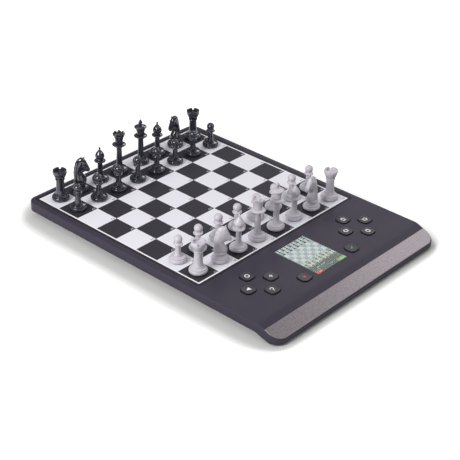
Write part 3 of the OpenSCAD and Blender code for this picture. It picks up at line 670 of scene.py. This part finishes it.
def iconBlocks(kind):
    # flat marks in millimetres round a key's middle
    thin = icons["thinStroke"]
    if kind == "ring":
        a = np.linspace(0, 2 * math.pi, 41)
        r = icons["ringRadius"]
        return [strip(np.c_[r * np.cos(a), r * np.sin(a)], icons["ringStroke"])]
    if kind == "plus":
        p, wide = icons["plusArm"], icons["plusStroke"]
        return [strip([(-p, 0), (0, 0), (p, 0)], wide), strip([(0, -p), (0, 0), (0, p)], wide)]
    if kind == "wedge":
        return [fill(icons["wedge"])]
    if kind == "hook":
        t = np.linspace(math.pi, -0.35 * math.pi, 16)
        r = icons["hookRadius"]
        stroke = np.vstack([np.c_[r * np.cos(t), 1.2 + r * np.sin(t)], [(0.0, -0.9), (0.0, -1.5)]])
        dot = [(-0.6, -3.3), (0.6, -3.3), (0.6, -2.3), (-0.6, -2.3)]
        return [strip(stroke, icons["hookStroke"]), fill(dot)]
    if kind == "cross":
        p = icons["crossArm"]
        return [strip([(-p, -p), (0, 0), (p, p)], thin), strip([(-p, p), (0, 0), (p, -p)], thin)]
    if kind == "tick":
        return [strip([(-1.8, 0.1), (-0.5, -1.3)], thin), strip([(-0.7, -1.3), (1.8, 1.6)], thin)]
    return hollowArrow(icons["arrowTurns"][kind])


keyIcons = {
    "key_power": ("ring", mark), "key_plus": ("plus", mark), "key_back": ("wedge", mark),
    "key_hint": ("hook", mark), "key_takeback": ("up", mark), "key_left": ("left", mark),
    "key_right": ("right", mark), "key_down": ("down", mark), "key_no": ("cross", redMark),
    "key_yes": ("tick", greenMark),
}


def faceUp(block):
    # turns each flat face so that it looks up
    points, faces, slot = block
    out = []
    for f in faces:
        p = points[list(f)][:, :2]
        area = np.sum(p[:, 0] * np.roll(p[:, 1], -1) - np.roll(p[:, 0], -1) * p[:, 1])
        out.append(tuple(f) if area > 0 else tuple(f)[::-1])
    return points, out, slot


for name in keyNames:
    keyCap(name)
    kind, ink = keyIcons[name]
    x, y = keyCentre(name)
    z = housing["deck"] + keyShape["proud"] + keyShape["markLift"]
    blocks = [faceUp(moved(b, (x, y, z))) for b in iconBlocks(kind)]
    addPiece(name.replace("key_", "mark_"), blocks, [ink], name, closed=False, merge=False)
print("keys made:", len(keyNames))

# display picture

picture = {
    "z": 20.32, "cell": 6.15, "top": 1.0, "left": 1.2, "border": 0.35, "pawnTall": 1.1, "officerTall": 1.8,
    "rimSize": 1.35, "bodySize": 0.8, "redBlock": (9.5, 4.6), "greenBlock": (13, 5.2), "barThick": 0.7,
    # each bar of text: its left end, its height over the panel's lower edge, its length
    "bars": [(-16, 9.5, 5), (-8.5, 9.5, 4), (-18, 6.6, 2), (-3.5, 9.9, 1.4), (2.5, 4.2, 2.4), (-20, 2.1, 3.4),
             (17, 2.4, 5)],
    "colours": {
        "screenBand": tone(84, 98, 90), "screenLight": tone(196, 206, 200), "screenDark": tone(152, 169, 174),
        "screenBlackMen": tone(20, 24, 28), "screenWhiteMen": tone(190, 186, 84),
        "screenRed": tone(214, 82, 62), "screenGreen": tone(132, 182, 92), "screenText": tone(206, 216, 204),
    },
}


def rectangle(x0, y0, x1, y1, z, slot):
    return np.array([(x0, y0, z), (x1, y0, z), (x1, y1, z), (x0, y1, z)], float), [(0, 1, 2, 3)], slot


def manOutline(tall):
    # a small standing figure: base, waist and head, as one outline
    a = np.linspace(-0.25 * math.pi, 1.25 * math.pi, 10)
    head = np.c_[0.62 * np.cos(a), tall + 0.62 * np.sin(a)]
    rightSide = [(1.5, -2.0), (1.2, -1.2), (0.55, -0.6), (0.45, tall - 0.6)]
    leftSide = [(-0.45, tall - 0.6), (-0.55, -0.6), (-1.2, -1.2)]
    return np.vstack([[(-1.5, -2.0)], rightSide, head, leftSide])


def screenPicture():
    # a lit panel: 8 x 8 cells with two sides' men, a band of text bars and two soft-key blocks
    border = 2 * picture["border"]
    w, d, mid = display["width"] - border, display["depth"] - border, display["middle"]
    x0, y1, z = -w / 2, mid + d / 2, picture["z"]
    blocks = [rectangle(x0, mid - d / 2, -x0, y1, z, 0)]
    cell = picture["cell"]
    left, top = x0 + picture["left"], y1 - picture["top"]
    for r in range(8):
        for f in range(8):
            x, y = left + f * cell, top - (r + 1) * cell
            blocks.append(rectangle(x, y, x + cell, y + cell, z + 0.01, 1 if (f + r) % 2 == 0 else 2))
            if r in (0, 1, 6, 7):
                shape = manOutline(picture["pawnTall"] if r in (1, 6) else picture["officerTall"])
                body = 3 if r < 2 else 4
                for grow, slot, lift in ((picture["rimSize"], 3, 0.02), (picture["bodySize"], body, 0.03)):
                    p = shape * [grow, grow] + [x + cell / 2, y + cell / 2]
                    blocks.append((np.c_[p, np.full(len(p), z + lift)], [tuple(range(len(p)))], slot))
    low = mid - d / 2
    redWide, redTall = picture["redBlock"]
    greenWide, greenTall = picture["greenBlock"]
    blocks.append(rectangle(x0, low, x0 + redWide, low + redTall, z + 0.01, 5))
    blocks.append(rectangle(-x0 - greenWide, low, -x0, low + greenTall, z + 0.01, 6))
    for x, y, long in picture["bars"]:
        blocks.append(rectangle(x, low + y, x + long, low + y + picture["barThick"], z + 0.03, 7))
    lit = [screenMaterial(name, colour) for name, colour in picture["colours"].items()]
    return addPiece("screenPicture", [faceUp(b) for b in blocks], lit, "housing",
                    closed=False, merge=False)


screenPicture()
print("display picture lit")

# chess set: heights start at the felt's sole, on the printed sheet

chessmen = {
    "pawnHeight": 33.4, "rookHeight": 40.0, "bishopHeight": 46.4, "queenHeight": 54.4, "kingHeight": 61.0,
    "pawnFoot": 10.5, "rookFoot": 10.8, "knightFoot": 10.6, "bishopFoot": 10.6, "queenFoot": 10.7,
    "kingFoot": 10.7,
    "felt": 0.8, "steps": 96, "asideShare": 0.7,
}
# how far each man stands off its square's middle, by file, towards the right front corner
officerAside = {
    "white": [0, 1.8, 0.4, 0.2, 0.2, 0.4, 0.6, 1.5],
    "black": [1.5, 0.6, 0.8, 0.6, 3.8, 1.4, 1.4, 1.7],
}
pawnAside = {"white": [1.2, 1, 1.4, 1, 1.1, 1.1, 1, 1], "black": [0.5, 1, 0.8, 0.8, 0.8, 0.8, 0.8, 0.8]}
knightTurn = {"white": {1: -40, 6: 180}, "black": {1: -45, 6: 186}}


def skirt(r0, r1, z0, z1, n=14):
    # what is left to the stem's radius shrinks with the power 1.4 of the height still to go
    t = np.linspace(0, 1, n)
    return np.c_[r1 + (r0 - r1) * (1 - t) ** 1.4, z0 + (z1 - z0) * t]


def trumpet(r0, r1, z0, z1, n=12):
    # a cone whose radius grows with the power 1.8 of its height
    t = np.linspace(0, 1, n)
    return np.c_[r0 + (r1 - r0) * t ** 1.8, z0 + (z1 - z0) * t]


def bead(r, out, z0, z1, n=11):
    # half an ellipse that stands out of the stem
    t = np.linspace(0, math.pi, n)
    return np.c_[r + out * np.sin(t), (z0 + z1) / 2 - (z1 - z0) / 2 * np.cos(t)]


def ball(r, z, neck, n=16):
    # a sphere's profile from the neck's radius up to the pole
    t = np.linspace(-math.acos(neck / r), math.pi / 2, n)
    return np.c_[r * np.cos(t), z + r * np.sin(t)]


def foot(r, stem, rise):
    # a rounded rim, a ring on it, a low slope, a small ring and the stem's own flare
    low = [[(0, 0), (r - 1, 0)], bead(r - 1, 1, 0, 4.2, 15), bead(r - 2, 0.6, 4.3, 5.6)]
    high = [skirt(r - 2.6, stem + 1.4, 5.7, 6.9, 6), bead(stem + 0.9, 0.6, 7, 8.2),
            skirt(stem + 0.8, stem, 8.3, rise, 8)]
    return np.vstack(low + high)


def collar(r, z):
    # a small ring with a wide one on it
    return np.vstack([bead(3.8, 1.8, z, z + 1.7), bead(4, r - 4, z + 1.8, z + 4.8, 15)])


def turned(profile, reshape=None, steps=None):
    # the profile's (radius, height) carried round the axis; reshape may move each point by its angle
    steps = steps or chessmen["steps"]
    a = np.linspace(0, 2 * math.pi, steps + 1)[:-1]
    r = np.repeat(profile[:, :1], steps, 1)
    z = np.repeat(profile[:, 1:], steps, 1)
    angle = np.repeat(a[None], len(profile), 0)
    if reshape:
        r, z = reshape(r, z, angle)
    return gridBlock(np.stack([r * np.cos(angle), r * np.sin(angle), z], -1))


def feltDisc(r):
    top = chessmen["felt"] - 0.01
    return turned(np.array([(0, 0), (r, 0), (r, top), (0, top)]), steps=48)


def pawnBlocks():
    h, r = chessmen["pawnHeight"] - chessmen["felt"], chessmen["pawnFoot"]
    head = 5
    stem = [foot(r, 3.3, h * 0.4), [(3, h * 0.6)]]
    profile = np.vstack(stem + [bead(4, 1.7, h * 0.62, h * 0.7), ball(head, h - head, 3.7, 20)])
    return [turned(profile)]


def rookBlocks():
    # the wall's top drops by the notch depth within each of four notches
    h, r, top = chessmen["rookHeight"] - chessmen["felt"], chessmen["rookFoot"], 8.5
    notch, wide, count = 2.8, 0.17, 4
    outside = np.vstack([foot(r, 5.1, 13.5), [(4.9, h * 0.66)], bead(5, 0.9, h * 0.67, h * 0.71),
                         [(5.6, h * 0.72), (top - 0.1, h * 0.895)]])
    rim = [(top, h - notch), (top, h - 0.3), (top - 0.3, h), (top - 2.1, h), (top - 2.4, h - 0.3)]
    rim += [(top - 2.5, h - notch - 0.2), (0, h - notch - 0.6)]
    profile = np.vstack([outside, rim])

    def crenel(rr, z, angle):
        off = np.abs(angle * count / (2 * math.pi) % 1 - 0.5) * 2 * math.pi / count
        inNotch = np.clip((wide - off) / 0.03, 0, 1)
        return rr, np.where(z > h - notch, z - (z - (h - notch)) * inNotch, z)
    return [turned(profile, crenel, 192)]


def bishopBlocks():
    # a slanted cut in the mitre pulls the points near its plane inwards
    h, r = chessmen["bishopHeight"] - chessmen["felt"], chessmen["bishopFoot"]
    t = np.linspace(0, 1, 30)
    swell = 3.3 * (1 - t) + 0.9 * t + 3.4 * np.sin(math.pi * t ** 0.7)
    mitre = np.c_[swell, h * 0.66 + (h - 2.9 - h * 0.66) * t]
    profile = np.vstack([foot(r, 3.3, 12.5), [(3.0, h * 0.54)], bead(3.6, 3.6, h * 0.56, h * 0.63, 15),
                         [(3.3, h * 0.64)], mitre, ball(1.4, h - 1.4, 0.9)])

    def slit(rr, z, angle):
        x = rr * np.cos(angle)
        off = np.abs((z - h * 0.84) * math.cos(0.61) - (x - 1.2) * math.sin(0.61))
        onMitre = (z > h * 0.68) * (z < h - 3)
        deep = np.clip((0.75 - off) / 0.35, 0, 1) * np.clip((x - 0.6) / 0.8, 0, 1) * onMitre
        return rr * (1 - 0.38 * deep), z
    return [turned(profile, slit, 128)]


def queenBlocks():
    # the rim rises to eight points round the coronet
    h, r, top, spikes = chessmen["queenHeight"] - chessmen["felt"], chessmen["queenFoot"], 7.9, 8
    dip = 2.6
    outside = np.vstack([foot(r, 3.6, 14), [(3.3, h * 0.63)], collar(8.7, h * 0.64), [(4.5, h * 0.74)],
                         trumpet(4.7, top - 0.5, h * 0.76, h * 0.95)])
    rim = [(top - 0.2, h - 1.6), (top, h - 0.3), (top - 0.3, h), (top - 0.9, h), (top - 1.3, h - 0.4)]
    rim += [(top - 2.1, h - 3.2), (4, h - 3.9)]
    profile = np.vstack([outside, rim, ball(2, h - 3.3, 1.9)])

    def coronet(rr, z, angle):
        valley = 1 - np.abs(np.cos(angle * spikes / 2)) ** 0.8
        share = np.clip((z - (h - 3)) / 3, 0, 1) * (rr > top - 2.2)
        return rr, z - dip * valley * share
    return [turned(profile, coronet, 192)]


def kingBlocks():
    # a flared crown with a low dome, and a cross of four rounded arms on it
    h, r, top = chessmen["kingHeight"] - chessmen["felt"], chessmen["kingFoot"], 8.0
    crown = h - 9.4
    profile = np.vstack([foot(r, 3.7, 14), [(3.4, h * 0.57)], collar(8.6, h * 0.575), [(4.6, h * 0.665)],
                         trumpet(4.9, top - 1.2, h * 0.68, crown - 1.6),
                         bead(top - 0.8, 0.8, crown - 1.5, crown + 0.2),
                         [(top - 1.4, crown + 0.5), (3, crown + 1.7), (0, crown + 2)]])
    cross = [softBar((0, 0, crown + 4.7), (1.35, 1.15, 4.7)), softBar((0, 0, h - 4.3), (3.0, 1.15, 1.55))]
    return [turned(profile)] + cross


def softBar(centre, half, power=0.35, rows=24, cols=40):
    # a superellipsoid: cosines and sines raised to a small power give a box with round edges
    u = np.linspace(-math.pi / 2, math.pi / 2, rows)[:, None]
    v = np.linspace(0, 2 * math.pi, cols + 1)[None, :-1]
    def soft(x):
        return np.sign(x) * np.abs(x) ** power
    x = half[0] * soft(np.cos(u)) * soft(np.cos(v))
    y = half[1] * soft(np.cos(u)) * soft(np.sin(v))
    z = half[2] * soft(np.sin(u)) * np.ones_like(v)
    return gridBlock(np.stack([x, y, z], -1) + np.asarray(centre, float))


horse = {
    # where the neck's back and front stand, as (forward, up) pairs from the felt's sole, and half its width
    "rows": [
        [-7.4, 12.0, 7.6, 12.0, 5.8], [-7.5, 15.6, 8.1, 14.0, 5.8], [-7.4, 20.0, 7.4, 17.4, 5.0],
        [-7.0, 25.6, 5.4, 20.4, 4.4], [-5.7, 32.6, 3.6, 22.9, 4.1], [-3.9, 38.4, 4.0, 24.2, 4.1],
        [-1.0, 42.4, 5.6, 25.2, 4.1], [3.0, 44.2, 7.2, 25.8, 3.9], [6.6, 42.0, 8.8, 25.6, 3.3],
        [9.0, 37.2, 10.2, 25.4, 2.9], [11.2, 32.0, 11.6, 25.8, 2.6], [12.5, 28.6, 12.3, 27.0, 1.4],
    ],
    "steps": 5, "around": 48, "maneScallops": 7, "maneWidth": 1.7,
    # forward, sideways and up from the felt's sole; the eye and the nostril also have three half sizes
    "ear": (4.2, 2.0, 41.6), "eye": ((7.0, 3.2, 38.0), (1.0, 0.7, 0.7)),
    "nostril": ((11.2, 2.3, 28.4), (0.55, 0.5, 0.7)),
}


def closedTube(rings):
    # rings of points one after the other, with each end drawn together at its own middle
    around = rings.shape[1]
    first, last = (np.repeat(end.mean(1, keepdims=True), around, 1) for end in (rings[:1], rings[-1:]))
    return gridBlock(np.concatenate([first, rings, last]))


def knightBlocks(turn):
    # sections stand between the back and front outlines, each a soft ellipse across the horse
    r, felt = chessmen["knightFoot"], chessmen["felt"]
    plate = [(6.9, 10.3), (7.7, 10.8), (7.7, 11.2), (7.2, 11.7), (0, 11.7)]
    base = np.vstack([foot(r, 3.8, 9.0), bead(3.9, 0.8, 9.1, 10.1), plate])
    rows = throughPoints(horse["rows"], horse["steps"])
    rows[:, [1, 3]] -= felt
    back, front, half = rows[:, 0:2], rows[:, 2:4], rows[:, 4]
    a = np.linspace(0, 2 * math.pi, horse["around"] + 1)[:-1]
    c = np.sign(np.cos(a)) * np.abs(np.cos(a)) ** 0.85
    s = np.sign(np.sin(a)) * np.abs(np.sin(a)) ** 0.85
    mid, reach = (back + front) / 2, (front - back) / 2
    x = mid[:, :1] + reach[:, :1] * c
    z = mid[:, 1:] + reach[:, 1:] * c
    y = half[:, None] * s
    blocks = [closedTube(np.stack([x, y, z], -1))]
    # the mane is a narrow ridge along the back outline, scalloped in steps
    n = len(rows)
    pick = slice(int(n * 0.14), int(n * 0.72))
    line = back[pick]
    along = np.gradient(line, axis=0)
    along /= np.linalg.norm(along, axis=1)[:, None]
    outward = np.c_[-along[:, 1], along[:, 0]]
    t = np.linspace(0, 1, len(line))
    scallops = 0.9 + 0.35 * np.abs(np.sin(t * math.pi * horse["maneScallops"]))
    depth = scallops * np.sin(math.pi * np.clip(t, 0.02, 0.98)) ** 0.4
    b = np.linspace(0, 2 * math.pi, 25)[:-1]
    mx = line[:, :1] - outward[:, :1] * 0.6 + outward[:, :1] * depth[:, None] * 1.3 * np.cos(b)
    mz = line[:, 1:] - outward[:, 1:] * 0.6 + outward[:, 1:] * depth[:, None] * 1.3 * np.cos(b)
    my = horse["maneWidth"] * depth[:, None] * np.sin(b)
    blocks.append(closedTube(np.stack([mx, my, mz], -1)))
    # ears, eyes and nostrils stand on both cheeks
    for side in (-1, 1):
        t = np.linspace(0, 1, 10)[:, None]
        e = np.linspace(0, 2 * math.pi, 17)[None, :-1]
        wide = 1.5 * np.cos(t * math.pi / 2) ** 0.8
        earX, earY, earZ = horse["ear"]
        ex = earX + 2.3 * t + wide * 0.8 * np.cos(e)
        ey = side * (earY - 0.3 * t) + wide * 0.7 * np.sin(e)
        blocks.append(closedTube(np.stack([ex, ey, earZ - felt + 3.6 * t + 0 * e], -1)))
        for (px, py, pz), size, rings, cols in ((*horse["eye"], 10, 16), (*horse["nostril"], 8, 12)):
            blocks.append(softBar((px, side * py, pz - felt), size, 1.0, rings, cols))
    c, s = math.cos(math.radians(turn)), math.sin(math.radians(turn))
    spun = []
    for points, faces, slot in blocks:
        spun.append((points @ np.array([[c, s, 0], [-s, c, 0], [0, 0, 1]]), faces, slot))
    return [turned(base)] + spun


def standMan(side, kind, file, blocks):
    # puts a finished man on its square, with the felt under it
    rank = {"white": 0, "black": 7}[side] if kind != "pawn" else {"white": 1, "black": 6}[side]
    aside = (pawnAside if kind == "pawn" else officerAside)[side][file]
    off = chessmen["asideShare"] * aside
    x = (file - 3.5) * board["square"] + off
    y = board["middle"] + (rank - 3.5) * board["square"] - off
    node = side + "_" + kind + "_" + "abcdefgh"[file]
    up = board["sheetTop"] + chessmen["felt"]
    parts = [moved(b, (x, y, up)) for b in blocks]
    disc = feltDisc(chessmen[kind + "Foot"] - 1.6)
    parts.append((disc[0] + [x, y, board["sheetTop"]], disc[1], 1))
    title = side + kind.capitalize() + "ABCDEFGH"[file]
    finish = whiteSet if side == "white" else blackSet
    return addPiece(title, parts, [finish, feltGreen], node, [node], 48)


order = ["rook", "knight", "bishop", "queen", "king", "bishop", "knight", "rook"]
makers = {"rook": rookBlocks, "bishop": bishopBlocks, "queen": queenBlocks, "king": kingBlocks}
for side in ("white", "black"):
    for file, kind in enumerate(order):
        blocks = knightBlocks(knightTurn[side][file]) if kind == "knight" else makers[kind]()
        standMan(side, kind, file, blocks)
    for file in range(8):
        standMan(side, "pawn", file, pawnBlocks())
print("chess set stands")

# floor, light and camera

studio = {
    "floorSize": 6.0, "floorGlow": 0.85, "contact": 0.09, "darkAt": 0.8,
    "horizon": 0.06, "zenith": 0.66, "rise": 1.4,
    # each lamp: place, width, height, power
    "lamps": {
        "backSoftbox": ((1.20, 0.55, 0.95), 0.9, 0.35, 3.4),
        "leftSoftbox": ((-1.50, 0.10, 0.95), 0.8, 0.5, 26.0),
        "cameraSoftbox": ((-0.80, -1.20, 1.50), 0.7, 0.7, 1.8),
        "rightSpot": ((1.00, -1.10, 0.95), 0.22, 0.22, 3.0),
        "stripSoftbox": ((0.75, -0.20, 0.60), 0.3, 0.3, 0.7),
    },
}


def floorMaterial():
    # pale card, which also glows by itself where the camera or a reflection looks at it
    material, tree, shader, place = blankMaterial("floorCard")
    shade = mixColours(tree, noiseNode(tree, place, 60, 4), tone(207, 207, 206), tone(211, 211, 210))
    tree.links.new(shade, shader.inputs["Base Color"])
    shader.inputs["Roughness"].default_value = 0.9
    shader.inputs["Specular IOR Level"].default_value = 0.0
    path = tree.nodes.new("ShaderNodeLightPath")
    seen = path.outputs["Is Camera Ray"]
    for other in ("Is Glossy Ray", "Is Transmission Ray"):
        seen = mathNode(tree, "MAXIMUM", seen, path.outputs[other])
    # painted shadow: the glow fades where the object stands close over the card, by the card's ambient
    # occlusion
    nearby = tree.nodes.new("ShaderNodeAmbientOcclusion")
    nearby.samples = 24
    nearby.inputs["Distance"].default_value = studio["contact"]
    glow = tree.nodes.new("ShaderNodeEmission")
    fade = rangeNode(tree, nearby.outputs["AO"], studio["darkAt"], 1, 0, studio["floorGlow"])
    tree.links.new(fade, glow.inputs["Strength"])
    none = tree.nodes.new("ShaderNodeEmission")
    none.inputs["Strength"].default_value = 0
    pick = tree.nodes.new("ShaderNodeMixShader")
    tree.links.new(seen, pick.inputs[0])
    tree.links.new(none.outputs[0], pick.inputs[1])
    tree.links.new(glow.outputs[0], pick.inputs[2])
    both = tree.nodes.new("ShaderNodeAddShader")
    tree.links.new(shader.outputs[0], both.inputs[0])
    tree.links.new(pick.outputs[0], both.inputs[1])
    tree.links.new(both.outputs[0], tree.nodes["Material Output"].inputs["Surface"])
    return material


half = studio["floorSize"] / 2
floorMesh = bpy.data.meshes.new("floor")
corners = [(-half, -half, 0), (half, -half, 0), (half, half, 0), (-half, half, 0)]
floorMesh.from_pydata(corners, [], [(0, 1, 2, 3)])
floorMesh.materials.append(floorMaterial())
floor = bpy.data.objects.new("floor", floorMesh)
bpy.context.scene.collection.objects.link(floor)

world = bpy.data.worlds.new("studioWorld")
bpy.context.scene.world = world
world.use_nodes = True
sky = world.node_tree
background = sky.nodes["Background"]
background.inputs["Color"].default_value = (1, 1, 1, 1)
# the sky grows brighter from the horizon to the zenith; the camera itself sees plain white
ways = sky.nodes.new("ShaderNodeTexCoord")
axes = sky.nodes.new("ShaderNodeSeparateXYZ")
sky.links.new(ways.outputs["Generated"], axes.inputs[0])
bend = mathNode(sky, "POWER", mathNode(sky, "MAXIMUM", axes.outputs["Z"], 0), studio["rise"])
level = rangeNode(sky, bend, 0, 1, studio["horizon"], studio["zenith"])
path = sky.nodes.new("ShaderNodeLightPath")
plain = sky.nodes.new("ShaderNodeMix")
sky.links.new(path.outputs["Is Camera Ray"], plain.inputs[0])
sky.links.new(level, plain.inputs[2])
plain.inputs[3].default_value = 1.0
sky.links.new(plain.outputs[0], background.inputs["Strength"])


def softBox(name, place, target, size, power):
    lamp = bpy.data.lights.new(name, "AREA")
    lamp.shape = "RECTANGLE"
    lamp.size, lamp.size_y = size
    lamp.energy = power
    obj = bpy.data.objects.new(name, lamp)
    bpy.context.scene.collection.objects.link(obj)
    back = np.array(place, float) - np.array(target, float)
    back /= np.linalg.norm(back)
    right = np.cross((0, 0, 1), back)
    right /= np.linalg.norm(right)
    up = np.cross(back, right)
    turn = Matrix([[right[i], up[i], back[i], place[i]] for i in range(3)] + [[0, 0, 0, 1]])
    obj.matrix_world = turn
    return obj


for name, (place, wide, tall, power) in studio["lamps"].items():
    softBox(name, place, (0, 0, 0), (wide, tall), power)

view = {
    "lens": 99.887, "sensor": 36, "shift": (-0.0011, 0.0011),
    "place": (-0.98438, -0.86829, 0.79239), "turn": (58.8499, -1.4164, -47.8059),
}
camera = bpy.data.cameras.new("camera")
camera.lens = view["lens"]
camera.sensor_width = view["sensor"]
camera.shift_x, camera.shift_y = view["shift"]
cameraObject = bpy.data.objects.new("camera", camera)
cameraObject.location = view["place"]
cameraObject.rotation_euler = [math.radians(a) for a in view["turn"]]
bpy.context.scene.collection.objects.link(cameraObject)
bpy.context.scene.camera = cameraObject
bpy.context.scene.view_settings.view_transform = "Standard"
print("studio lit")
